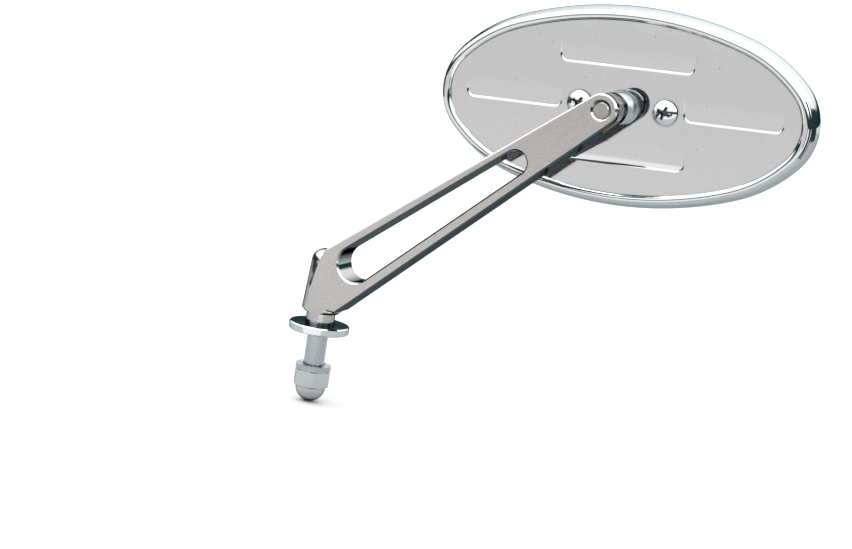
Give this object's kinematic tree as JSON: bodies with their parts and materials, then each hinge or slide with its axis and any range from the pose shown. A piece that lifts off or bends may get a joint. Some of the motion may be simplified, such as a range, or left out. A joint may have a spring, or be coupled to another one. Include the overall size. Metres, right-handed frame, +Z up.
{
  "type": "motorcycle mirror",
  "caption": "Oval chromed rear-view mirror on a ball joint, with a flat slotted alloy arm and a threaded stem for a handlebar perch.",
  "frame": {"origin": "centre of the seat washer's lower face on the stem's axis, where the perch's lug meets the mirror", "axes": "+Z up along the stem, +X towards the head along the arm's plane, +Y the way the glass faces"},
  "size_m": [0.1796, 0.0466, 0.1668],
  "materials": {
    "arm_alloy": "satin brushed faces with polished edges",
    "chrome": "polished chrome plate",
    "zinc_steel": "bright zinc plate",
    "spring_steel": "dark tempered spring steel",
    "nylon": "natural white nylon",
    "seal_rubber": "black moulded rubber",
    "mirror": "flat silvered mirror glass",
    "foam": "dark closed-cell foam"
  },
  "bodies": {
    "arm_body": {"arm": "arm_alloy", "mount_stem": "zinc_steel", "seat_washer": "chrome", "ball_stud": "chrome", "lock_nut": "zinc_steel"},
    "nut": {"cap_nut": "chrome", "lock_washer": "zinc_steel"},
    "pan_shell": {"liner_rear": "nylon"},
    "tilt_shell": {"liner_front": "nylon"},
    "head": {"socket_boss": "chrome", "pressure_cup": "nylon", "spring_washer": "spring_steel", "clamp_plate": "zinc_steel", "screw_left": "chrome", "screw_right": "chrome", "head_back": "chrome", "front_ring": "chrome", "glass_seal": "seal_rubber", "mirror_glass": "mirror", "foam_pad": "foam"}
  },
  "joints": [
    {"name": "head_pan", "type": "hinge", "parent": "arm_body", "child": "pan_shell", "pos_m": [0.0985, 0.0147, 0.1027], "axis": [0, 0, 1], "range_deg": [-18, 3]},
    {"name": "head_tilt", "type": "hinge", "parent": "pan_shell", "child": "tilt_shell", "pos_m": [0.0985, 0.0147, 0.1027], "axis": [1, 0, 0], "range_deg": [-5, 14]},
    {"name": "head_spin", "type": "hinge", "parent": "tilt_shell", "child": "head", "pos_m": [0.0985, 0.0147, 0.1027], "axis": [0, 1, 0], "range_deg": [-15, 15]},
    {"name": "nut_travel", "type": "slide", "parent": "arm_body", "child": "nut", "axis": [0, 0, -1], "range_m": [0, 0.06]}
  ]
}
